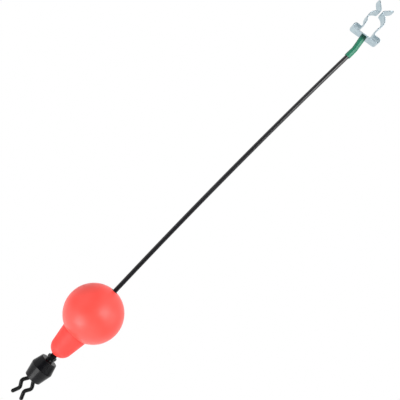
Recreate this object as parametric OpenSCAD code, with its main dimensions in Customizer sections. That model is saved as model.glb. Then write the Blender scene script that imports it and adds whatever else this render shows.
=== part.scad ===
// Swing-arm bite indicator with a ball float: a spring clip that grips a bank stick,
// a rubber link, a slim arm, a hollow ball on a tapered neck, and a sprung line clip.
// Millimetres. The origin is the centre of the spring clip's bore, and +Z is up.
// The arm hangs down the Z axis, and the stick lies along Y.

/* [Spring clip] */
// Radius of the relaxed bore that grips the stick
bore_r = 5; // [4.6:0.1:5.4]
// Thickness of the steel strip
strip_t = 0.6; // [0.5:0.1:0.7]
// Width of the steel strip
strip_w = 12; // [8:0.5:14]
// Height of the bore's centre over the outer face of the base
bore_rise = 11.4; // [10.4:0.1:12]
// Half the width of the flat part of the base
base_half = 7.7; // [7.2:0.1:9]
// Bend radius of each rolled end, at the middle of the strip
roll_r = 1.5; // [1.3:0.1:1.6]
// Distance from the clip's axis to the middle of each jaw's foot
foot_x = 4.1; // [3.6:0.1:4.4]
// Gap between the jaws at the throat
throat_gap = 1; // [0.4:0.1:1.4]
// Length of each flared lip
lip_len = 6.1; // [4:0.1:7]
// Angle between the left lip and the clip's axis
lip_left_angle = 42; // [35:1:54]
// Angle between the right lip and the clip's axis
lip_right_angle = 52; // [35:1:54]
// Lean of the clip's axis away from vertical
clip_lean = 8; // [4:0.5:12]

/* [Rubber link] */
// Outer diameter of the rubber tube
tube_d = 3.8; // [3.6:0.1:4.4]
// Length of the tube from the clip's base to its bend
tube_upper = 8.5; // [8:0.5:14]
// Length of the tube on the arm, below its bend
tube_lower = 5.5; // [4:0.1:8]

/* [Arm] */
// Diameter of the arm
arm_d = 2.8; // [2.4:0.1:2.9]
// Length of the arm between the ball and the rubber tube
arm_free = 198; // [120:1:260]
// Length of the arm that runs straight, above the ball's centre
arm_straight = 36; // [30:1:60]
// Radius of the arm's slight bow above that
bow_r = 3700; // [3000:100:9000]

/* [Ball and neck] */
// Outer diameter of the ball
ball_d = 37; // [36:0.5:40]
// Wall thickness of the ball
ball_wall = 1.5; // [1.2:0.1:2]
// Radius of the neck where it meets the ball
neck_top_r = 8.85; // [8.2:0.05:9.2]
// Radius of the neck's rounded end
neck_end_r = 7.1; // [6.8:0.1:7.3]
// Distance from the ball's centre to the end of the neck
neck_end = 34; // [33.6:0.1:34.6]

/* [Line clip] */
// Diameter of the tension barrel at its waist
barrel_d = 14.7; // [13.5:0.1:16]
// Diameter of the tension barrel at its ends
barrel_end_d = 10.9; // [10.2:0.1:12]
// Length of the tension barrel
barrel_len = 14.9; // [14.7:0.1:15.2]
// Diameter of each wavy line arm
wire_d = 2.4; // [2:0.1:2.4]
// Pitch of the tension thread
thread_pitch = 1; // [0.8:0.1:1.2]

/* [Hidden] */
$fn = 64;

// Clearance of a pressed seat, of the tube's bore, of a running fit and of a glued bore
seat_gap = 0.02;
tube_gap = 0.03;
run_gap = 0.05;
glue_gap = 0.1;

// Spring clip, in the clip's own frame: base at the origin, bore above it
mid_t = strip_t / 2;
loop_r = bore_r + mid_t;            // middle of the strip round the bore
waist_r = 2.5;                      // bend between each foot and the loop
throat_r = 1;                       // bend between the loop and each lip
foot_r = 0.8;                       // bend at the bottom of each foot
foot_z = mid_t + 2 * roll_r + foot_r;   // where each jaw starts, over the base
waist_angle = acos((foot_x + waist_r) / (loop_r + waist_r));
waist_z = bore_rise - (loop_r + waist_r) * sin(waist_angle);
throat_angle = acos((throat_gap / 2 + mid_t + throat_r) / (loop_r + throat_r));

// Rivet that holds the rubber tube to the clip
rivet_r = arm_d / 2;
rivet_head_r = 2.4;
rivet_head_h = 0.9;
barb_count = 3;
barb_pitch = 1.2;
barb_neck_r = rivet_r - 0.25;

// Rubber tube and arm
tube_bend_r = 6;
arm_grip = tube_lower - 1.2;        // length of the arm inside the tube

// Ball, neck and what they hold, in the arm's frame: ball centre at the origin.
// The arm runs straight down there, and bows away above.
ball_r = ball_d / 2;
ball_inner_r = ball_r - ball_wall;
shell_lip_h = 1.4;
neck_top_z = -sqrt(pow(ball_r, 2) - pow(neck_top_r, 2));
neck_end_z = neck_end_r - neck_end;   // centre of the rounded end
spigot_r = 5.8;
spigot_z = -14.5;
core_r = 2;
core_low_z = -22;
ballast_r = 4.9;
ballast_top_z = -17.2;
ballast_low_z = -22.2;
insert_r = 3.4;
insert_top_z = -22.5;
insert_low_z = -31.5;
rod_low_z = -27;
tube_z = ball_r + arm_free;         // where the arm enters the tube
bow_angle = asin((tube_z - arm_straight) / bow_r);
tube_bend_angle = clip_lean + bow_angle;

// Line clip, down the arm's axis
stem_r = 2.1;
stem_top_z = -28.2;
nut_r = 3;
nut_top_z = -35.3;
nut_h = 1.9;
boss_r = 2.45;                      // threaded boss that the barrel screws along
boss_low_z = -45.5;
tang_r = 1.2;
tang_top_z = -41.5;
barrel_top_z = -38.6;
barrel_low_z = barrel_top_z - barrel_len;
barrel_waist_z = barrel_top_z - 6.4;
barrel_end_gap = 0.3;               // left over the fork when the barrel is right down
mouth_r = 3.9;
ring_r = 4.1;
ring_h = 1.6;
ring_low_z = -50.2;
fork_x = 2.6;                       // half width of the fork's block
fork_low_z = -50.5;
line_arm_x = 1.35;                  // middle of each line arm where it leaves the fork
wave_r = 2.4;                       // bend radius of each line arm
wave_angle = 32;
tip_angle = 22;

// Each path is a list of straight runs [length] and bends [radius, turn to the left].
clip_roll_path = [[base_half], [roll_r, 180], [base_half - foot_x - foot_r], [foot_r, -90]];
function clip_jaw_path(lip_angle) = [
    [waist_z - foot_z], [waist_r, -waist_angle], [loop_r, waist_angle + throat_angle],
    [throat_r, -(throat_angle + lip_angle)], [lip_len]
];
line_arm_path = [
    [2.8], [wave_r, wave_angle], [3.1], [wave_r, -2 * wave_angle], [2],
    [wave_r, wave_angle + tip_angle], [3.5]
];
tube_path = [[tube_upper], [tube_bend_r, -tube_bend_angle], [tube_lower]];

// End of a path that starts at [0, 0, heading]: [x, y, heading].
function step_end(p, s) = len(s) == 1
    ? [p.x + s[0] * cos(p.z), p.y + s[0] * sin(p.z), p.z]
    : let (side = sign(s[1]))
      [p.x + side * s[0] * (sin(p.z + s[1]) - sin(p.z)),
       p.y - side * s[0] * (cos(p.z + s[1]) - cos(p.z)),
       p.z + s[1]];
function path_end(path, p, i = 0) =
    i == len(path) ? p : path_end(path, step_end(p, path[i]), i + 1);

// Sweeps the 2D child along a path in the XY plane, starting at the origin along +X.
// Every second piece is a hair thicker, which the child reads as $swell, and its
// neighbours lap into it, so that the pieces join into one solid.
module sweep_path(path, i = 0) {
    if (i < len(path)) {
        s = path[i];
        $swell = i % 2 == 0 ? 0 : 0.02;
        lap = i % 2 == 0 ? 0.05 : 0;
        before = i > 0 ? lap : 0;
        after = i < len(path) - 1 ? lap : 0;
        if (len(s) == 1) {
            translate([-before, 0, 0]) rotate([90, 0, 90]) linear_extrude(s[0] + before + after)
                children();
            translate([s[0], 0, 0]) sweep_path(path, i + 1) children();
        } else {
            side = sign(s[1]);
            degrees_per_mm = side * 180 / (PI * s[0]);
            translate([0, side * s[0], 0]) {
                rotate([0, 0, -90 * side - before * degrees_per_mm])
                    rotate_extrude(angle = s[1] + (before + after) * degrees_per_mm)
                        translate([s[0], 0]) children();
                rotate([0, 0, s[1]]) translate([0, -side * s[0], 0])
                    sweep_path(path, i + 1) children();
            }
        }
    }
}

// Stands an XY drawing up in the XZ plane.
module upright() { rotate([90, 0, 0]) children(); }

module mirrored(left) { mirror([left ? 1 : 0, 0, 0]) children(); }

module ring(r_out, r_in, z_low, z_high) {
    translate([0, 0, z_low]) difference() {
        cylinder(r = r_out, h = z_high - z_low);
        translate([0, 0, -1]) cylinder(r = r_in, h = z_high - z_low + 2);
    }
}

// Places children drawn in the clip's frame.
module in_clip() { rotate([0, -clip_lean, 0]) translate([0, 0, -bore_rise]) children(); }

// Places children drawn in the arm's frame, so that the arm meets the end of the tube.
tube_end = path_end(tube_path, [0, -bore_rise, -90]);
arm_shift = [
    tube_end.x * cos(clip_lean) - tube_end.y * sin(clip_lean) - bow_r * (1 - cos(bow_angle)),
    0,
    tube_end.x * sin(clip_lean) + tube_end.y * cos(clip_lean) - tube_z
];
module in_arm() { translate(arm_shift) children(); }

module strip_profile() { square([strip_t + $swell, strip_w + $swell], center = true); }

// Base of the spring clip: the flat with its rivet hole, and both rolled ends.
module clip_base() {
    color("lightsteelblue") in_clip() difference() {
        for (left = [false, true]) mirrored(left) upright()
            translate([0, mid_t, 0]) sweep_path(clip_roll_path) strip_profile();
        translate([0, 0, -1]) cylinder(r = rivet_r + seat_gap, h = strip_t + 2);
    }
}

module clip_jaw(left) {
    color("lightsteelblue") in_clip() mirrored(left) upright()
        translate([foot_x, foot_z, 0]) rotate([0, 0, 90])
            sweep_path(clip_jaw_path(left ? lip_left_angle : lip_right_angle)) strip_profile();
}

// Rivet: headed inside the clip, shank through the base, barbed tail in the tube.
module clip_rivet() {
    color("silver") in_clip() {
        translate([0, 0, strip_t]) cylinder(r1 = rivet_head_r, r2 = rivet_head_r - 0.9, h = rivet_head_h);
        cylinder(r = rivet_r, h = strip_t);
        for (i = [1 : barb_count]) translate([0, 0, -i * barb_pitch])
            cylinder(r1 = barb_neck_r, r2 = rivet_r - seat_gap, h = barb_pitch);
    }
}

// Soft green tube that links the clip to the arm and lets the arm swing.
module rubber_tube() {
    color("seagreen") in_clip() upright() rotate([0, 0, -90]) sweep_path(tube_path) difference() {
        circle(d = tube_d + $swell);
        circle(d = arm_d + 2 * tube_gap - $swell);
    }
}

// Slim bowed arm from the threaded insert, through the ball, into the rubber tube.
module arm_rod() {
    bow = bow_angle + arm_grip / bow_r * 180 / PI;
    color("black") in_arm() upright() translate([0, rod_low_z, 0]) rotate([0, 0, 90])
        sweep_path([[arm_straight - rod_low_z], [bow_r, -bow]], $fn = 5000)
            circle(d = arm_d + $swell, $fn = 64);
}

// Upper half of the hollow ball, with the lip that locates the lower half.
module ball_upper_shell() {
    color("tomato") in_arm() {
        difference() {
            sphere(r = ball_r);
            sphere(r = ball_inner_r);
            translate([0, 0, -ball_d]) cylinder(r = ball_d, h = ball_d);
            cylinder(r = core_r + seat_gap, h = ball_d);
        }
        ring(ball_inner_r + 0.5, ball_inner_r - 0.6, -shell_lip_h, 0);
    }
}

// Lower half of the hollow ball, open at the bottom for the neck's spigot.
module ball_lower_shell() {
    color("tomato") in_arm() difference() {
        sphere(r = ball_r);
        sphere(r = ball_inner_r);
        cylinder(r = ball_d, h = ball_d);
        translate([0, 0, -shell_lip_h - run_gap]) cylinder(r = ball_inner_r + 0.5 + run_gap, h = ball_d);
        translate([0, 0, -ball_d]) cylinder(r = spigot_r + run_gap, h = ball_d);
    }
}

// Plastic tube that carries the arm through the ball and keeps the ball sealed.
module core_tube() {
    color("dimgray") in_arm() ring(core_r, arm_d / 2 + glue_gap, core_low_z, ball_r - 0.15);
}

// Outline of the neck's rounded end, down to the axis. The side runs from the ball to
// where it touches this round at a tangent, which fixes the angle of the taper.
neck_reach = norm([neck_top_r, neck_top_z - neck_end_z]);
neck_taper = acos(neck_end_r / neck_reach) - atan2(neck_top_z - neck_end_z, neck_top_r);
neck_side = [
    for (step = [0 : 15]) let (t = neck_taper + (90 - neck_taper) * step / 16)
        [neck_end_r * cos(t), neck_end_z - neck_end_r * sin(t)]
];

// Tapered neck: spherical seat for the ball, spigot, and pockets for ballast and insert.
module neck_cone() {
    color("tomato") in_arm() difference() {
        union() {
            difference() {
                rotate_extrude() polygon(concat(
                    [[0, neck_top_z], [neck_top_r, neck_top_z]], neck_side, [[0, -neck_end]]
                ));
                sphere(r = ball_r + seat_gap);
            }
            translate([0, 0, neck_top_z - 3]) cylinder(r = spigot_r, h = spigot_z - neck_top_z + 3);
        }
        translate([0, 0, ballast_low_z]) cylinder(r = ballast_r + run_gap, h = 20);
        translate([0, 0, insert_low_z]) cylinder(r = insert_r + seat_gap, h = 20);
        translate([0, 0, -neck_end - 1]) cylinder(r = stem_r + glue_gap, h = 5);
    }
}

// Metal ring in the neck that keeps the line taut.
module ballast_ring() {
    color("gray") in_arm() ring(ballast_r, core_r + run_gap, ballast_low_z, ballast_top_z);
}

// Brass insert: glued on the arm's end at the top, threaded for the stem below.
module threaded_insert() {
    color("goldenrod") in_arm() translate([0, 0, insert_low_z]) difference() {
        cylinder(r = insert_r, h = insert_top_z - insert_low_z);
        translate([0, 0, rod_low_z - insert_low_z]) cylinder(r = arm_d / 2 + glue_gap, h = 10);
        translate([0, 0, -1]) cylinder(r = stem_r + run_gap, h = stem_top_z - insert_low_z + 1.2);
    }
}

// Threaded stem of the line clip, with a thicker boss for the barrel.
module clip_stem() {
    nut_low_z = nut_top_z - nut_h;
    color("black") in_arm() difference() {
        union() {
            translate([0, 0, nut_low_z]) cylinder(r = stem_r, h = stem_top_z - nut_low_z);
            translate([0, 0, boss_low_z]) cylinder(r = boss_r, h = nut_low_z - boss_low_z);
        }
        translate([0, 0, boss_low_z - 1]) cylinder(r = tang_r + seat_gap, h = tang_top_z - boss_low_z + 1.2);
    }
}

// Hexagonal nut that locks the stem to the neck.
module lock_nut() {
    color("black") in_arm() translate([0, 0, nut_top_z - nut_h]) difference() {
        cylinder(r = nut_r, h = nut_h, $fn = 6);
        translate([0, 0, -1]) cylinder(r = stem_r + seat_gap, h = nut_h + 2);
    }
}

// Fork inside the barrel that carries both line arms.
module line_fork() {
    color("black") in_arm() {
        translate([-fork_x, -wire_d / 2, fork_low_z]) cube([2 * fork_x, wire_d, boss_low_z - fork_low_z]);
        translate([0, 0, boss_low_z]) cylinder(r = tang_r, h = tang_top_z - boss_low_z);
    }
}

// Wavy springy arm: it bows out, pinches in to hold the line, and flares at its tip.
module line_arm(left) {
    tip = path_end(line_arm_path, [line_arm_x, fork_low_z, -90]);
    color("black") in_arm() mirrored(left) {
        upright() translate([line_arm_x, fork_low_z, 0]) rotate([0, 0, -90])
            sweep_path(line_arm_path) circle(d = wire_d + $swell);
        translate([tip.x, 0, tip.y]) sphere(d = wire_d + 0.02);
    }
}

// Barrel, thickest at its waist, that screws along the stem and carries the tension ring.
module tension_barrel() {
    cavity_top_z = boss_low_z + thread_pitch + barrel_end_gap;
    color("black") in_arm() difference() {
        rotate_extrude() polygon([
            [0, barrel_top_z], [barrel_end_d / 2, barrel_top_z], [barrel_d / 2, barrel_waist_z],
            [barrel_end_d / 2, barrel_low_z], [0, barrel_low_z]
        ]);
        translate([0, 0, cavity_top_z]) cylinder(r = boss_r + run_gap, h = 20);
        translate([0, 0, barrel_low_z - 1]) cylinder(r = mouth_r, h = cavity_top_z - barrel_low_z + 1.1);
        translate([0, 0, ring_low_z - run_gap]) cylinder(r = ring_r + run_gap, h = ring_h + 2 * run_gap);
    }
}

// Ring in the barrel that slides along the fork and presses the line arms together.
module tension_ring() {
    slot_x = fork_x + run_gap;
    slot_y = wire_d / 2 + run_gap;
    color("black") in_arm() translate([0, 0, ring_low_z]) difference() {
        cylinder(r = ring_r, h = ring_h);
        translate([-slot_x, -slot_y, -1]) cube([2 * slot_x, 2 * slot_y, ring_h + 2]);
    }
}

clip_base();
clip_jaw(true);  // clip_jaw_left
clip_jaw(false);  // clip_jaw_right
clip_rivet();
rubber_tube();
arm_rod();
ball_upper_shell();
ball_lower_shell();
core_tube();
neck_cone();
ballast_ring();
threaded_insert();
clip_stem();
lock_nut();
line_fork();
line_arm(true);  // line_arm_left
line_arm(false);  // line_arm_right
tension_barrel();
tension_ring();
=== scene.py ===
"""Looks of a swing-arm bite indicator: spring clip, rubber link, bowed arm, ball float and line clip."""

from math import acos, asin, atan2, cos, degrees, pi, radians, sin, sqrt, tan

import bmesh
import bpy
from mathutils import Matrix, Vector


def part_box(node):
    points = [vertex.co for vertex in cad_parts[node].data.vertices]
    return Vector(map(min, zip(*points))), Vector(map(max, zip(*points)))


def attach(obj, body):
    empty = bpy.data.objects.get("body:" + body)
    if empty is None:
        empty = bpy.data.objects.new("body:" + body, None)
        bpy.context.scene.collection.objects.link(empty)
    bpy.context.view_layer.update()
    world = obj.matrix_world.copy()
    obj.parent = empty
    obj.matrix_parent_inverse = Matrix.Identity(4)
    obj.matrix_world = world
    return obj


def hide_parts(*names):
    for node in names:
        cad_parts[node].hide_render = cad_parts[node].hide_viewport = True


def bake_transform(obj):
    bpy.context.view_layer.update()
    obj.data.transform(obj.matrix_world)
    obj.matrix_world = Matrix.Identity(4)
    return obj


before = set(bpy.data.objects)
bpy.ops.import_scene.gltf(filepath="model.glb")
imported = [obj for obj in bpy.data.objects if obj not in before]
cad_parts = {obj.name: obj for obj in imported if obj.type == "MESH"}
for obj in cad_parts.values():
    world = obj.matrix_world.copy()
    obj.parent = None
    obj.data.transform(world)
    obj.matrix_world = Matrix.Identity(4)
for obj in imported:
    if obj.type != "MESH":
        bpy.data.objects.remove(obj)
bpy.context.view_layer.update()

MM = 0.001

# ---------------------------------------------------------------- dimensions, in millimetres

# Spring clip and its rivet
STRIP_T = 0.6
STRIP_W = 12.0
BORE_R = 5.0
BORE_RISE = 11.4
BASE_HALF = 7.7
ROLL_R = 1.5
FOOT_X = 4.1
FOOT_R = 0.8
WAIST_R = 2.5
THROAT_R = 1.0
THROAT_GAP = 1.0
LIP_LEN = 6.1
LIP_ROUND = 2.6             # rounding of each lip's free corners
LIP_ANGLE = {"left": 42.0, "right": 52.0}
CLIP_LEAN = radians(8)
EDGE_ROUND = 0.16
RIVET_HEAD_R = 2.4
RIVET_HEAD_H = 0.9
BARB_COUNT = 3
BARB_PITCH = 1.2
BARB_CUT = 0.25
RIVET_TAIL = BARB_COUNT * BARB_PITCH
SEAT_GAP = 0.02

# Rubber link and arm
TUBE_D = 3.8
TUBE_BORE_D = 2.86
TUBE_RUNS = (8.5, 5.5)
TUBE_BEND_R = 6.0
TUBE_SLACK = 0.14           # how much thinner the tube is where nothing stretches it
TUBE_EASE = 1.2             # length over which the tube gets thinner
TUBE_SPLIT = 7.6            # where the upper piece of the tube meets the lower one
ARM_D = 2.8
ARM_GRIP = 4.3              # length of the arm inside the tube
ARM_STRAIGHT = 36.0
BOW_R = 3700.0
ARM_TILT = 2.8              # angle between the tube's end face and the level, in degrees
RIVET_R = ARM_D / 2

# Ball and neck, with heights from the ball's centre
WALL = 1.5
CORE_HOLE = 2.02
SPIGOT_HOLE = 5.85
SPIGOT_R = 5.8
SPIGOT_TOP = -14.5
BALLAST_POCKET = (4.95, -22.2)      # radius, and height of its floor
INSERT_POCKET = (3.42, -31.5)
NECK_TOP_R = 8.85
NECK_END_R = 7.1
NECK_END = 34.0
NECK_HOLE = 2.2

# Line clip, with heights from the ball's centre
STEM_R = 2.1
STEM_LOWER_R = 2.45
THREAD_TOP = -32.8
THREAD_DEPTH = 0.24
THREAD_PITCH = 0.7
NUT_R = 3.0                 # out to the corners
NUT_CHAMFER = 0.35
BARREL_END_R = 5.45
BARREL_HOLE = 2.5
WAIST_DROP = 6.4
MOUTH_R = 3.9
CAVITY_TOP = -44.2
WIRE_D = 2.4
WAVE_R = 2.4
WAVE_ANGLE = 32.0
TIP_ANGLE = 22.0
LINE_ARM_X = 1.35
LINE_ARM_RUNS = (2.8, 3.1, 2.0, 3.5)

# Places that the frame gives, in millimetres
ball_low, ball_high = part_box("ball_upper_shell")
BALL_R = (ball_high.x - ball_low.x) / 2 / MM
ARM_X = (ball_high.x + ball_low.x) / 2 / MM
BALL_Z = ball_high.z / MM - BALL_R
BARREL_LOW, BARREL_TOP = (corner.z / MM - BALL_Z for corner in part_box("tension_barrel"))
BARREL_R = (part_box("tension_barrel")[1].x / MM) - ARM_X
NUT_LOW, NUT_TOP = (corner.z / MM - BALL_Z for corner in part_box("lock_nut"))
FORK_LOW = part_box("line_fork")[0].z / MM - BALL_Z

# The clip's own frame has the middle of its base at the origin and its bore above that
CLIP = Matrix.Rotation(-CLIP_LEAN, 4, "Y") @ Matrix.Translation((0, 0, -BORE_RISE))
TUBE_TOP = CLIP @ Vector((0, 0, 0)) * MM
ARM = Matrix.Translation((ARM_X, 0, BALL_Z))

# ---------------------------------------------------------------- mesh tools


def arc(centre, radius, first, last, steps):
    """Points on an arc, with the angles in degrees."""
    turn = [radians(first + (last - first) * i / steps) for i in range(steps + 1)]
    return [(centre[0] + radius * cos(t), centre[1] + radius * sin(t)) for t in turn]


def rounded(points, radii, steps=5):
    """A closed outline with its corners rounded, and a support point beside each round."""
    out = []
    count = len(points)
    for i, (corner, radius) in enumerate(zip(points, radii)):
        here = Vector(corner)
        before = (Vector(points[i - 1]) - here)
        after = (Vector(points[(i + 1) % count]) - here)
        if radius <= 0:
            out.append(tuple(here))
            continue
        half = before.angle(after) / 2
        reach = radius / tan(half)
        a = here + before.normalized() * reach
        b = here + after.normalized() * reach
        centre = here + (before.normalized() + after.normalized()).normalized() * (radius / sin(half))
        start, end = a - centre, b - centre
        sweep = start.angle_signed(end)
        out.append(tuple(a + before.normalized() * min(radius, before.length / 4)))
        for k in range(steps + 1):
            turned = start.copy()
            turned.rotate(Matrix.Rotation(-sweep * k / steps, 2))
            out.append(tuple(centre + turned))
        out.append(tuple(b + after.normalized() * min(radius, after.length / 4)))
    return out


def walk(start, heading, moves, step=0.25):
    """Samples a path in the XZ plane. A move is (length,) or (radius, turn to the left).

    Returns a list of (x, z, heading), in millimetres and degrees.
    """
    x, z = start
    samples = [(x, z, heading)]
    for move in moves:
        if len(move) == 1:
            count = max(1, round(move[0] / step))
            for _ in range(count):
                x += move[0] / count * cos(radians(heading))
                z += move[0] / count * sin(radians(heading))
                samples.append((x, z, heading))
        else:
            radius, turn = move
            side = 1 if turn > 0 else -1
            count = max(4, round(abs(turn) / 6), round(radius * radians(abs(turn)) / 8))
            cx = x - side * radius * sin(radians(heading))
            cz = z + side * radius * cos(radians(heading))
            for _ in range(count):
                heading += turn / count
                x = cx + side * radius * sin(radians(heading))
                z = cz - side * radius * cos(radians(heading))
                samples.append((x, z, heading))
    return samples


def make_object(name, vertices, faces, material, place=Matrix.Identity(4)):
    """A smooth-shaded mesh from points in millimetres."""
    mesh = bpy.data.meshes.new(name)
    mesh.from_pydata([place @ Vector(v) * MM for v in vertices], [], faces)
    mesh.validate()
    piece = bpy.data.objects.new(name, mesh)
    bpy.context.collection.objects.link(piece)
    fix = bmesh.new()
    fix.from_mesh(mesh)
    bmesh.ops.remove_doubles(fix, verts=fix.verts, dist=1e-7)
    bmesh.ops.recalc_face_normals(fix, faces=fix.faces)
    fix.to_mesh(mesh)
    fix.free()
    mesh.shade_smooth()
    mesh.set_sharp_from_angle(angle=radians(38))
    for one in material if isinstance(material, (list, tuple)) else [material]:
        mesh.materials.append(one)
    return piece


def lathe(name, outline, material, place, around=128, radius_at=None):
    """Turns a closed outline of (radius, height) about the Z axis of a place."""
    vertices, faces = [], []
    rings = len(outline)
    for i in range(around):
        turn = 2 * pi * i / around
        for r, z in outline:
            r = radius_at(r, z, turn) if radius_at else r
            vertices.append((r * cos(turn), r * sin(turn), z))
    for i in range(around):
        j = (i + 1) % around
        for k in range(rings):
            m = (k + 1) % rings
            faces.append((i * rings + k, j * rings + k, j * rings + m, i * rings + m))
    return make_object(name, vertices, faces, material, place)


def sweep(name, samples, section, material, place=Matrix.Identity(4)):
    """Sweeps a closed section along a walk. section(i) gives (offset to the left, offset along Y)."""
    vertices, faces = [], []
    for i, (x, z, heading) in enumerate(samples):
        left = (-sin(radians(heading)), cos(radians(heading)))
        for n, y in section(i):
            vertices.append((x + left[0] * n, y, z + left[1] * n))
    size = len(section(0))
    for i in range(len(samples) - 1):
        for k in range(size):
            m = (k + 1) % size
            faces.append((i * size + k, i * size + m, (i + 1) * size + m, (i + 1) * size + k))
    faces.append(tuple(range(size)))
    faces.append(tuple(range(len(vertices) - size, len(vertices))))
    return make_object(name, vertices, faces, material, place)


def circle_section(diameter, count=32):
    """A round section, as offsets to the left and along Y."""
    return [(diameter / 2 * cos(2 * pi * k / count), diameter / 2 * sin(2 * pi * k / count))
            for k in range(count)]


# ---------------------------------------------------------------- materials


def new_material(name, roughness, metallic=0.0, ior=1.5):
    """A Principled material with the constants set on its own sockets."""
    material = bpy.data.materials.new(name)
    material.use_nodes = True
    shader = material.node_tree.nodes["Principled BSDF"]
    shader.inputs["Metallic"].default_value = metallic
    shader.inputs["Roughness"].default_value = roughness
    shader.inputs["IOR"].default_value = ior
    return material


def noise(tree, scale, detail=4.0, stretch=(1, 1, 1)):
    """A noise in object space, measured per metre, stretched along the axes."""
    coordinates = tree.nodes.new("ShaderNodeTexCoord")
    mapping = tree.nodes.new("ShaderNodeMapping")
    mapping.inputs["Scale"].default_value = stretch
    texture = tree.nodes.new("ShaderNodeTexNoise")
    texture.inputs["Scale"].default_value = scale
    texture.inputs["Detail"].default_value = detail
    tree.links.new(coordinates.outputs["Object"], mapping.inputs["Vector"])
    tree.links.new(mapping.outputs["Vector"], texture.inputs["Vector"])
    return texture


def ramp(tree, source, stops):
    """A colour ramp over a factor, from (position, colour) stops."""
    node = tree.nodes.new("ShaderNodeValToRGB")
    while len(node.color_ramp.elements) < len(stops):
        node.color_ramp.elements.new(0.5)
    for element, (position, colour) in zip(node.color_ramp.elements, stops):
        element.position = position
        element.color = (*colour, 1)
    tree.links.new(source, node.inputs["Fac"])
    return node.outputs["Color"]


def spread(tree, source, low, high, source_low=0.3, source_high=0.7):
    """Maps a factor onto a range."""
    node = tree.nodes.new("ShaderNodeMapRange")
    node.inputs["From Min"].default_value = source_low
    node.inputs["From Max"].default_value = source_high
    node.inputs["To Min"].default_value = low
    node.inputs["To Max"].default_value = high
    tree.links.new(source, node.inputs["Value"])
    return node.outputs["Result"]


def bump(tree, height, distance, strength=1.0, onto=None):
    """A bump of that height in metres, on top of another bump."""
    node = tree.nodes.new("ShaderNodeBump")
    node.inputs["Distance"].default_value = distance
    node.inputs["Strength"].default_value = strength
    tree.links.new(height, node.inputs["Height"])
    if onto is not None:
        tree.links.new(onto, node.inputs["Normal"])
    return node.outputs["Normal"]


def finish_material(material, colour=None, roughness=None, normal=None):
    """Links the worked-out colour, roughness and normal to the shader."""
    tree = material.node_tree
    shader = tree.nodes["Principled BSDF"]
    for name, source in (("Base Color", colour), ("Roughness", roughness), ("Normal", normal)):
        if source is not None:
            tree.links.new(source, shader.inputs[name])
    return material


def plated_steel(name, tones, low, high, relief=1.0):
    """Bright zinc plate on spring steel, with rolling lines along the strip and cloudy passivation."""
    material = new_material(name, 0.3, metallic=1.0)
    tree = material.node_tree
    cloud = noise(tree, 260, 3.0)
    lines = noise(tree, 900, 5.0, stretch=(1, 6, 1))
    grain = noise(tree, 5200, 2.0)
    colour = ramp(tree, cloud.outputs["Fac"], [(0.3, tones[0]), (0.52, tones[1]), (0.72, tones[2])])
    roughness = spread(tree, lines.outputs["Fac"], low, high)
    normal = bump(tree, lines.outputs["Fac"], 0.000012, 0.6 * relief)
    normal = bump(tree, grain.outputs["Fac"], 0.000004, 0.6 * relief, onto=normal)
    return finish_material(material, colour, roughness, normal)


def coral_plastic(name, low, high, shade_factor=1.0):
    """Semi-gloss moulded plastic with a faint orange-peel skin and a slight handling haze."""
    material = new_material(name, 0.4, ior=1.42)
    tree = material.node_tree
    shader = tree.nodes["Principled BSDF"]
    shader.inputs["Subsurface Weight"].default_value = 0.06
    shader.inputs["Subsurface Radius"].default_value = (0.004, 0.0012, 0.001)
    shader.inputs["Subsurface Scale"].default_value = 0.3
    cloud = noise(tree, 60, 3.0)
    haze = noise(tree, 320, 5.0)
    peel = noise(tree, 1300, 2.0)
    # A factor below 1 darkens the green and blue: painted shade.
    colour = ramp(tree, cloud.outputs["Fac"], [
        (0.3, (0.94, 0.073 * shade_factor, 0.057 * shade_factor)),
        (0.5, (0.97, 0.079 * shade_factor, 0.063 * shade_factor)),
        (0.7, (0.98, 0.086 * shade_factor, 0.069 * shade_factor))])
    roughness = spread(tree, haze.outputs["Fac"], low, high)
    normal = bump(tree, peel.outputs["Fac"], 0.000012, 0.35)
    return finish_material(material, colour, roughness, normal)


def green_rubber():
    """Soft silicone tube, a little translucent, with extrusion lines and painted shade darkening it near
    its end at the clip.
    """
    material = new_material("green_rubber", 0.42, ior=1.42)
    tree = material.node_tree
    shader = tree.nodes["Principled BSDF"]
    shader.inputs["Subsurface Weight"].default_value = 0.1
    shader.inputs["Subsurface Radius"].default_value = (0.0004, 0.0012, 0.0008)
    shader.inputs["Subsurface Scale"].default_value = 0.5
    cloud = noise(tree, 420, 4.0)
    lines = noise(tree, 1500, 3.0, stretch=(1, 1, 0.08))
    colour = ramp(tree, cloud.outputs["Fac"], [
        (0.28, (0.014, 0.163, 0.091)), (0.5, (0.016, 0.175, 0.100)), (0.74, (0.020, 0.190, 0.111))])
    # Painted shade: the tube turns darker green within about 2 to 3 mm of its end at the clip.
    clip_end_distance = tree.nodes.new("ShaderNodeVectorMath")
    clip_end_distance.operation = "DISTANCE"
    clip_end_distance.inputs[1].default_value = tuple(TUBE_TOP)
    place = tree.nodes.new("ShaderNodeTexCoord")
    tree.links.new(place.outputs["Object"], clip_end_distance.inputs[0])
    painted_shade = tree.nodes.new("ShaderNodeMix")
    painted_shade.data_type = "RGBA"
    painted_shade.inputs["A"].default_value = (0.008, 0.075, 0.045, 1)
    tree.links.new(spread(tree, clip_end_distance.outputs["Value"], 0, 1, 0.0020, 0.0029), painted_shade.inputs["Factor"])
    tree.links.new(colour, painted_shade.inputs["B"])
    colour = painted_shade.outputs["Result"]
    roughness = spread(tree, lines.outputs["Fac"], 0.3, 0.42)
    normal = bump(tree, lines.outputs["Fac"], 0.00001, 0.2)
    return finish_material(material, colour, roughness, normal)


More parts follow.
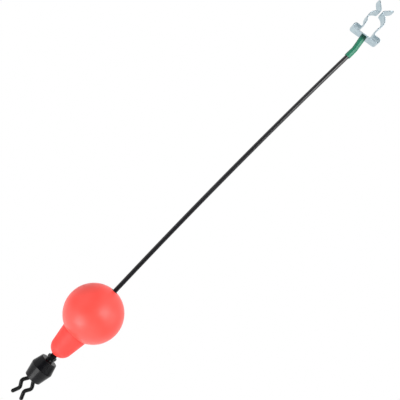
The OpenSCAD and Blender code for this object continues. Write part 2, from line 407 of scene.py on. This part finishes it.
def black_arm():
    """Semi-gloss black coating on the arm, with fine drawing lines along it and light rubs."""
    material = new_material("arm_black", 0.25, ior=1.55)
    tree = material.node_tree
    lines = noise(tree, 2200, 3.0, stretch=(1, 1, 0.03))
    rubs = noise(tree, 240, 4.0, stretch=(1, 1, 0.25))
    colour = ramp(tree, rubs.outputs["Fac"], [
        (0.35, (0.007, 0.007, 0.008)), (0.6, (0.010, 0.010, 0.012)), (0.78, (0.015, 0.015, 0.017))])
    roughness = spread(tree, lines.outputs["Fac"], 0.2, 0.28)
    normal = bump(tree, lines.outputs["Fac"], 0.00001, 0.15)
    return finish_material(material, colour, roughness, normal)


def black_plastic(name, low, high, blue=1.3):
    """Moulded black plastic with a fine matt skin and polished high spots."""
    material = new_material(name, 0.35, ior=1.28)
    tree = material.node_tree
    cloud = noise(tree, 300, 5.0)
    skin = noise(tree, 4200, 3.0)
    smears = noise(tree, 700, 3.0, stretch=(1, 1, 0.3))
    colour = ramp(tree, cloud.outputs["Fac"],
                  [(0.3, (0.0025, 0.0026, 0.0026 * blue)), (0.55, (0.0035, 0.0036, 0.0036 * blue)),
                   (0.78, (0.007, 0.007, 0.007 * blue))])
    roughness = spread(tree, smears.outputs["Fac"], low, high)
    normal = bump(tree, skin.outputs["Fac"], 0.00001, 0.4)
    return finish_material(material, colour, roughness, normal)


def plain_metal(name, tone, low, high):
    """Turned metal with fine lathe rings."""
    material = new_material(name, 0.3, metallic=1.0)
    tree = material.node_tree
    rings = noise(tree, 1600, 3.0, stretch=(0.1, 0.1, 1))
    cloud = noise(tree, 500, 4.0)
    dark = tuple(0.75 * c for c in tone)
    colour = ramp(tree, cloud.outputs["Fac"], [(0.3, dark), (0.7, tone)])
    roughness = spread(tree, rings.outputs["Fac"], low, high)
    normal = bump(tree, rings.outputs["Fac"], 0.00001, 0.5)
    return finish_material(material, colour, roughness, normal)


CLIP_STEEL = plated_steel(
    "clip_steel", [(0.34, 0.45, 0.505), (0.405, 0.53, 0.585), (0.48, 0.605, 0.645)], 0.2, 0.34)
CLIP_EDGE = plated_steel(
    "clip_edge", [(0.32, 0.39, 0.43), (0.35, 0.42, 0.46), (0.38, 0.45, 0.49)], 0.5, 0.6, relief=0.25)
RIVET_STEEL = plain_metal("rivet_steel", (0.66, 0.68, 0.70), 0.22, 0.38)
CORAL = coral_plastic("coral_shell", 0.33, 0.43)
# Painted shade: the neck takes a darker copy of the ball's coral, with its green and blue cut to 0.7.
CORAL_NECK_SHADED = coral_plastic("coral_neck_painted_shade", 0.5, 0.62, shade_factor=0.7)
GREEN = green_rubber()
ARM_BLACK = black_arm()
BARREL_BLACK = black_plastic("black_plastic", 0.22, 0.34)
WIRE_BLACK = black_plastic("arm_wire", 0.3, 0.46, blue=1.05)
INNER = black_plastic("inner_plastic", 0.45, 0.6, blue=1.0)
BRASS = plain_metal("brass_insert", (0.72, 0.50, 0.20), 0.2, 0.35)
BALLAST = plain_metal("ballast_metal", (0.35, 0.35, 0.35), 0.35, 0.5)

# ---------------------------------------------------------------- spring clip

LOOP_R = BORE_R + STRIP_T / 2
WAIST_ANGLE = degrees(atan2(
    sqrt((LOOP_R + WAIST_R) ** 2 - (FOOT_X + WAIST_R) ** 2), FOOT_X + WAIST_R))
WAIST_Z = BORE_RISE - sqrt((LOOP_R + WAIST_R) ** 2 - (FOOT_X + WAIST_R) ** 2)
THROAT_REACH = THROAT_GAP / 2 + STRIP_T / 2 + THROAT_R
THROAT_ANGLE = degrees(atan2(
    sqrt((LOOP_R + THROAT_R) ** 2 - THROAT_REACH ** 2), THROAT_REACH))
FOOT_Z = STRIP_T / 2 + 2 * ROLL_R + FOOT_R


def strip_section(width):
    """A strip's section, thickness by width, with rounded edges."""
    t, w = STRIP_T / 2, width / 2
    corners = [(-t, -w), (t, -w), (t, w), (-t, w)]
    return rounded(corners, [min(EDGE_ROUND, w / 3)] * 4, steps=3)


def strip(name, samples, round_end=0.0):
    """A strip of steel along a walk in the clip's frame. Its last end can have round corners."""
    lengths = [0.0]
    for a, b in zip(samples, samples[1:]):
        lengths.append(lengths[-1] + sqrt((b[0] - a[0]) ** 2 + (b[1] - a[1]) ** 2))

    def section(i):
        left = lengths[-1] - lengths[i]
        if left >= round_end:
            return strip_section(STRIP_W)
        short = round_end - sqrt(max(0.0, round_end ** 2 - (round_end - left) ** 2))
        return strip_section(STRIP_W - 2 * short)

    piece = sweep(name, samples, section, [CLIP_STEEL, CLIP_EDGE], place=CLIP)
    upright = CLIP.inverted().to_3x3()
    for face in piece.data.polygons:
        if abs((upright @ face.normal).y) > 0.6:
            face.material_index = 1
    return piece


def mirrored(samples):
    """The same walk on the left of the clip's axis."""
    return [(-x, z, 180 - heading) for x, z, heading in samples]


half_base = walk((0, STRIP_T / 2), 0,
                 [(BASE_HALF,), (ROLL_R, 180), (BASE_HALF - FOOT_X - FOOT_R,), (FOOT_R, -90)])
base_walk = [(-x, z, -heading) for x, z, heading in reversed(half_base)][:-1] + half_base
clip_base = strip("spring_clip_base", base_walk)
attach(clip_base, "spring_clip")
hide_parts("clip_base")

for side in ("right", "left"):
    samples = walk((FOOT_X, FOOT_Z), 90, [
        (WAIST_Z - FOOT_Z,), (WAIST_R, -WAIST_ANGLE), (LOOP_R, WAIST_ANGLE + THROAT_ANGLE),
        (THROAT_R, -(THROAT_ANGLE + LIP_ANGLE[side])), (LIP_LEN,)])
    if side == "left":
        samples = mirrored(samples)
    jaw = strip("spring_clip_jaw_" + side, samples, round_end=LIP_ROUND)
    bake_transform(jaw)
    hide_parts("clip_jaw_" + side)

rivet_dome = [
    (RIVET_HEAD_R * cos(radians(t)), STRIP_T + RIVET_HEAD_H * sin(radians(t)))
    for t in range(90, -1, -10)]
rivet_tail = [(RIVET_R, STRIP_T), (RIVET_R, 0)]
for barb in range(BARB_COUNT):
    rivet_tail += [(RIVET_R - SEAT_GAP, -barb * BARB_PITCH), (RIVET_R - BARB_CUT, -(barb + 1) * BARB_PITCH)]
rivet = lathe("rivet", rivet_dome + rivet_tail + [(0.0, -RIVET_TAIL)], RIVET_STEEL, CLIP, around=64)
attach(rivet, "spring_clip")
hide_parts("clip_rivet")

# ---------------------------------------------------------------- rubber link

tube_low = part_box("rubber_tube")[0].z / MM
TUBE_Z = (tube_low - BALL_Z) + TUBE_D / 2 * sin(radians(ARM_TILT))
BOW_ANGLE = degrees(asin((TUBE_Z - ARM_STRAIGHT) / BOW_R))
TUBE_BEND = degrees(CLIP_LEAN) + BOW_ANGLE

tube_start = CLIP @ Vector((0, 0, 0))
tube_walk = walk((tube_start.x, tube_start.z), -90 + degrees(CLIP_LEAN),
                 [(TUBE_RUNS[0],), (TUBE_BEND_R, -TUBE_BEND), (TUBE_RUNS[1],)])


def along(samples):
    """Distance along a walk at each sample."""
    reach = [0.0]
    for a, b in zip(samples, samples[1:]):
        reach.append(reach[-1] + sqrt((b[0] - a[0]) ** 2 + (b[1] - a[1]) ** 2))
    return reach


tube_reach = along(tube_walk)
TUBE_LENGTH = tube_reach[-1]


def tube_swell(reach):
    """The tube is stretched over the rivet's tail and over the arm, and relaxed between them."""
    def ease(t):
        t = min(1.0, max(0.0, t))
        return t * t * (3 - 2 * t)
    over_rivet = 1 - ease((reach - RIVET_TAIL) / TUBE_EASE + 0.5)
    over_arm = ease((reach - (TUBE_LENGTH - ARM_GRIP)) / TUBE_EASE + 0.5)
    return TUBE_D - TUBE_SLACK * (1 - max(over_rivet, over_arm))


def tube_piece(name, first, last):
    """A length of the tube with its bore, from one distance along it to another."""
    chosen = [(p, reach) for p, reach in zip(tube_walk, tube_reach)
              if first - 1e-6 <= reach <= last + 1e-6]
    around = 48
    vertices, faces, rings = [], [], []
    for (x, z, heading), reach in chosen:
        for diameter in (tube_swell(reach), TUBE_BORE_D):
            ring = []
            for k in range(around):
                turn = 2 * pi * k / around
                n, y = diameter / 2 * cos(turn), diameter / 2 * sin(turn)
                ring.append(len(vertices))
                vertices.append((x - sin(radians(heading)) * n, y, z + cos(radians(heading)) * n))
            rings.append(ring)

    def skin(a, b):
        for k in range(around):
            m = (k + 1) % around
            faces.append((a[k], a[m], b[m], b[k]))

    for i in range(len(chosen) - 1):
        skin(rings[2 * i], rings[2 * i + 2])
        skin(rings[2 * i + 3], rings[2 * i + 1])
    skin(rings[1], rings[0])
    skin(rings[-2], rings[-1])
    return make_object(name, vertices, faces, GREEN)


split = min(tube_reach, key=lambda reach: abs(reach - TUBE_SPLIT))
upper_tube = tube_piece("rubber_tube_upper", 0, split)
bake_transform(upper_tube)
lower_tube = tube_piece("rubber_tube_lower", split, TUBE_LENGTH)
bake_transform(lower_tube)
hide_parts("rubber_tube")

# ---------------------------------------------------------------- arm, ball and neck

ROD_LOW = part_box("arm_rod")[0].z / MM - BALL_Z
rod_turn = BOW_ANGLE + degrees(ARM_GRIP / BOW_R)
rod_walk = walk((ARM_X, BALL_Z + ROD_LOW), 90, [(ARM_STRAIGHT - ROD_LOW,), (BOW_R, -rod_turn)], step=4)
rod = sweep("arm_rod", rod_walk, lambda i: circle_section(ARM_D, 48), ARM_BLACK)
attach(rod, "arm")
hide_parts("arm_rod")


def shell(name, node, outline, material=CORAL):
    """A turned coral piece that rides on the arm."""
    piece = lathe(name, outline, material, ARM, around=192)
    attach(piece, "arm")
    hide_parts(node)


def pole(radius, hole):
    """Angle above the equator at which a sphere is cut by a hole on its axis."""
    return 90 - degrees(asin(hole / radius))


shell("ball_upper", "ball_upper_shell",
      arc((0, 0), BALL_R, 0, pole(BALL_R, CORE_HOLE), 64)
      + arc((0, 0), BALL_R - WALL, pole(BALL_R - WALL, CORE_HOLE), 0, 32))
shell("ball_lower", "ball_lower_shell",
      arc((0, 0), BALL_R, 0, -pole(BALL_R, SPIGOT_HOLE), 64)
      + arc((0, 0), BALL_R - WALL, -pole(BALL_R - WALL, SPIGOT_HOLE), 0, 32))

NECK_TOP_Z = -sqrt(BALL_R ** 2 - NECK_TOP_R ** 2)
NECK_END_Z = NECK_END_R - NECK_END
neck_rise = NECK_TOP_Z - NECK_END_Z
TAPER = degrees(acos(NECK_END_R / sqrt(NECK_TOP_R ** 2 + neck_rise ** 2)) - atan2(neck_rise, NECK_TOP_R))
taper_foot = (NECK_END_R * cos(radians(TAPER)), NECK_END_Z - NECK_END_R * sin(radians(TAPER)))
neck_side = [
    (NECK_TOP_R + (taper_foot[0] - NECK_TOP_R) * t / 8, NECK_TOP_Z + (taper_foot[1] - NECK_TOP_Z) * t / 8)
    for t in range(8)]
neck_end = arc((0, NECK_END_Z), NECK_END_R, -TAPER, -degrees(acos(NECK_HOLE / NECK_END_R)), 24)
seat = arc(
    (0, 0), BALL_R + SEAT_GAP,
    degrees(asin(SPIGOT_R / BALL_R)) - 90, degrees(asin(NECK_TOP_R / BALL_R)) - 90, 4)
neck_bore = [
    (NECK_HOLE, INSERT_POCKET[1]), INSERT_POCKET, (INSERT_POCKET[0], BALLAST_POCKET[1]),
    BALLAST_POCKET, (BALLAST_POCKET[0], SPIGOT_TOP), (SPIGOT_R, SPIGOT_TOP)]
shell("neck", "neck_cone", neck_bore + seat[:-1] + neck_side + neck_end, CORAL_NECK_SHADED)

# ---------------------------------------------------------------- line clip


def threaded(depth, pitch, first, last):
    """Cuts a right-handed thread into a turned radius between two heights."""
    def radius_at(r, z, turn):
        if not first <= z <= last or r < 1.5:
            return r
        phase = (z / pitch - turn / (2 * pi)) % 1
        fade = min(1, (z - first) / 0.4, (last - z) / 0.4)
        return r - depth * fade * abs(2 * phase - 1)
    return radius_at


def even(radius, first, last, step=0.06):
    """Points straight down a cylinder, close enough together to carry a thread."""
    count = round(abs(last - first) / step)
    return [(radius, first + (last - first) * i / count) for i in range(count + 1)]


STEM_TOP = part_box("clip_stem")[1].z / MM - BALL_Z
STEM_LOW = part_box("clip_stem")[0].z / MM - BALL_Z
THREAD_LOW = BARREL_TOP - 1.2
stem_outline = (
    [(0, STEM_TOP), (STEM_R, STEM_TOP)] + even(STEM_R, THREAD_TOP, NUT_LOW)
    + even(STEM_LOWER_R, NUT_LOW, THREAD_LOW) + [(STEM_LOWER_R, STEM_LOW), (0, STEM_LOW)])
stem = lathe("line_clip_stem", stem_outline, BARREL_BLACK, ARM, around=96,
             radius_at=threaded(THREAD_DEPTH, THREAD_PITCH, THREAD_LOW, THREAD_TOP))
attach(stem, "arm")
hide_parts("clip_stem")


def hexagon(corner_r, low, high, chamfer):
    """Six flats with a chamfer round both faces."""
    def radius_at(r, z, turn):
        if r < 2.5:
            return r
        flat = corner_r * cos(pi / 6) / cos((turn % (pi / 3)) - pi / 6)
        cone = corner_r - chamfer + 1.7 * min(z - low, high - z)
        return min(flat, cone)
    return radius_at


nut_rows = [NUT_TOP + (NUT_LOW - NUT_TOP) * i / 20 for i in range(21)]
NUT_HOLE = STEM_R + SEAT_GAP
nut = lathe("lock_nut", [(NUT_HOLE, NUT_TOP)] + [(NUT_R, z) for z in nut_rows] + [(NUT_HOLE, NUT_LOW)],
            BARREL_BLACK, ARM, around=144, radius_at=hexagon(NUT_R, NUT_LOW, NUT_TOP, NUT_CHAMFER))
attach(nut, "arm")
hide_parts("lock_nut")

barrel = lathe("tension_barrel", rounded(
    [(BARREL_HOLE, BARREL_TOP), (BARREL_END_R, BARREL_TOP), (BARREL_R, BARREL_TOP - WAIST_DROP),
     (BARREL_END_R, BARREL_LOW), (MOUTH_R, BARREL_LOW), (MOUTH_R, CAVITY_TOP), (BARREL_HOLE, CAVITY_TOP)],
    [0.2, 0.35, 0.9, 0.35, 0.2, 0, 0]), BARREL_BLACK, ARM, around=160)
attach(barrel, "barrel")
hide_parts("tension_barrel")

line_walk = walk((ARM_X + LINE_ARM_X, BALL_Z + FORK_LOW), -90, [
    (LINE_ARM_RUNS[0],), (WAVE_R, WAVE_ANGLE), (LINE_ARM_RUNS[1],), (WAVE_R, -2 * WAVE_ANGLE),
    (LINE_ARM_RUNS[2],), (WAVE_R, WAVE_ANGLE + TIP_ANGLE), (LINE_ARM_RUNS[3],)])


def line_arm(side):
    """A wavy arm of round section, with a round tip."""
    body = line_walk if side == "right" else [(2 * ARM_X - x, z, 180 - h) for x, z, h in line_walk]
    sizes = [1.0] * len(body)
    x, z, heading = body[-1]
    tip = []
    for k in range(1, 9):
        t = radians(min(88, 11.25 * k))
        ahead = WIRE_D / 2 * sin(t)
        tip.append((x + ahead * cos(radians(heading)), z + ahead * sin(radians(heading)), heading))
        sizes.append(cos(t))
    piece = sweep("line_arm_" + side, body + tip, lambda i: circle_section(WIRE_D * sizes[i]), WIRE_BLACK)
    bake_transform(piece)
    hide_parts("line_arm_" + side)


line_arm("left")
line_arm("right")

# ---------------------------------------------------------------- hidden pieces, as the frame has them

for node, material in (("core_tube", INNER), ("ballast_ring", BALLAST), ("threaded_insert", BRASS),
                       ("line_fork", WIRE_BLACK), ("tension_ring", INNER)):
    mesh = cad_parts[node].data
    mesh.materials.clear()
    mesh.materials.append(material)

# ---------------------------------------------------------------- lights, camera and floor

CAMERA_AT = Vector((-2.35, -500, -149.5)) * MM
CAMERA_ROLL = radians(46.57)
ROLL_RIGHT = Vector((sin(CAMERA_ROLL), 0, cos(CAMERA_ROLL)))
ROLL_UP = Vector((-cos(CAMERA_ROLL), 0, sin(CAMERA_ROLL)))
BACK = Vector((0, -1, 0))
LOOK_AT = Vector((CAMERA_AT.x, 0, CAMERA_AT.z))
BALL_AT = Vector((ARM_X, 0, BALL_Z)) * MM
FLOOR_Z = -1.1              # the object hangs, so the floor is well below it

camera = bpy.data.objects.new("camera", bpy.data.cameras.new("camera"))
bpy.context.collection.objects.link(camera)
camera.data.lens = 75
camera.data.sensor_width = 36
camera.data.clip_start = 0.01
camera_turn = Matrix((ROLL_RIGHT, ROLL_UP, BACK)).transposed().to_4x4()
camera.matrix_world = Matrix.Translation(CAMERA_AT) @ camera_turn
bpy.context.scene.camera = camera
bpy.context.scene.view_settings.view_transform = "Standard"


def softbox(name, toward, distance, size, power):
    """A square area light, placed from the ball, that looks at the middle of the object."""
    light = bpy.data.lights.new(name, "AREA")
    light.size = size
    light.energy = power
    lamp = bpy.data.objects.new(name, light)
    bpy.context.collection.objects.link(lamp)
    lamp.location = BALL_AT + toward.normalized() * distance
    lamp.rotation_mode = "QUATERNION"
    lamp.rotation_quaternion = (LOOK_AT - lamp.location).to_track_quat("-Z", "Y")
    lamp.visible_camera = False
    return lamp


def seen(right, up, back):
    """A direction given as it is seen: to the right, up, and towards the viewer."""
    return ROLL_RIGHT * right + ROLL_UP * up + BACK * back


softbox("left_softbox", seen(-0.67, -0.34, 0.66), 0.7, 0.4, 3.0)
softbox("right_softbox", seen(0.72, 0.17, 0.67), 0.7, 0.4, 3.2)
softbox("left_fill", seen(-0.4, 0.85, 0.3), 1.0, 1.0, 2.6)
softbox("right_fill", seen(0.95, -0.15, 0.25), 1.0, 0.8, 4.2)
softbox("top_light", Vector((0.1, -0.2, 1)), 1.4, 1.2, 4.0)

world = bpy.data.worlds.new("studio")
bpy.context.scene.world = world
world.use_nodes = True
tree = world.node_tree
background = tree.nodes["Background"]
coordinates = tree.nodes.new("ShaderNodeTexCoord")
split_axes = tree.nodes.new("ShaderNodeSeparateXYZ")
tree.links.new(coordinates.outputs["Generated"], split_axes.inputs["Vector"])
facing = tree.nodes.new("ShaderNodeMapRange")
facing.inputs["From Min"].default_value = -1
facing.inputs["From Max"].default_value = 1
tree.links.new(split_axes.outputs["Y"], facing.inputs["Value"])
tones = ramp(tree, facing.outputs["Result"],
             [(0.0, (0.07, 0.07, 0.07)), (0.5, (0.22, 0.22, 0.23)), (0.78, (0.95, 0.95, 0.95))])
path = tree.nodes.new("ShaderNodeLightPath")
mix = tree.nodes.new("ShaderNodeMix")
mix.data_type = "RGBA"
mix.inputs["B"].default_value = (1, 1, 1, 1)
tree.links.new(path.outputs["Is Camera Ray"], mix.inputs["Factor"])
tree.links.new(tones, mix.inputs["A"])
tree.links.new(mix.outputs["Result"], background.inputs["Color"])

bpy.ops.mesh.primitive_plane_add(size=4, location=(0, 0, FLOOR_Z))
floor = bpy.context.object
floor.name = "floor"
floor_paint = new_material("floor_paint", 0.9)
floor_shader = floor_paint.node_tree.nodes["Principled BSDF"]
floor_shader.inputs["Base Color"].default_value = (0.8, 0.8, 0.8, 1)
floor_shader.inputs["Emission Color"].default_value = (1, 1, 1, 1)
floor_shader.inputs["Emission Strength"].default_value = 0.75
floor.data.materials.append(floor_paint)
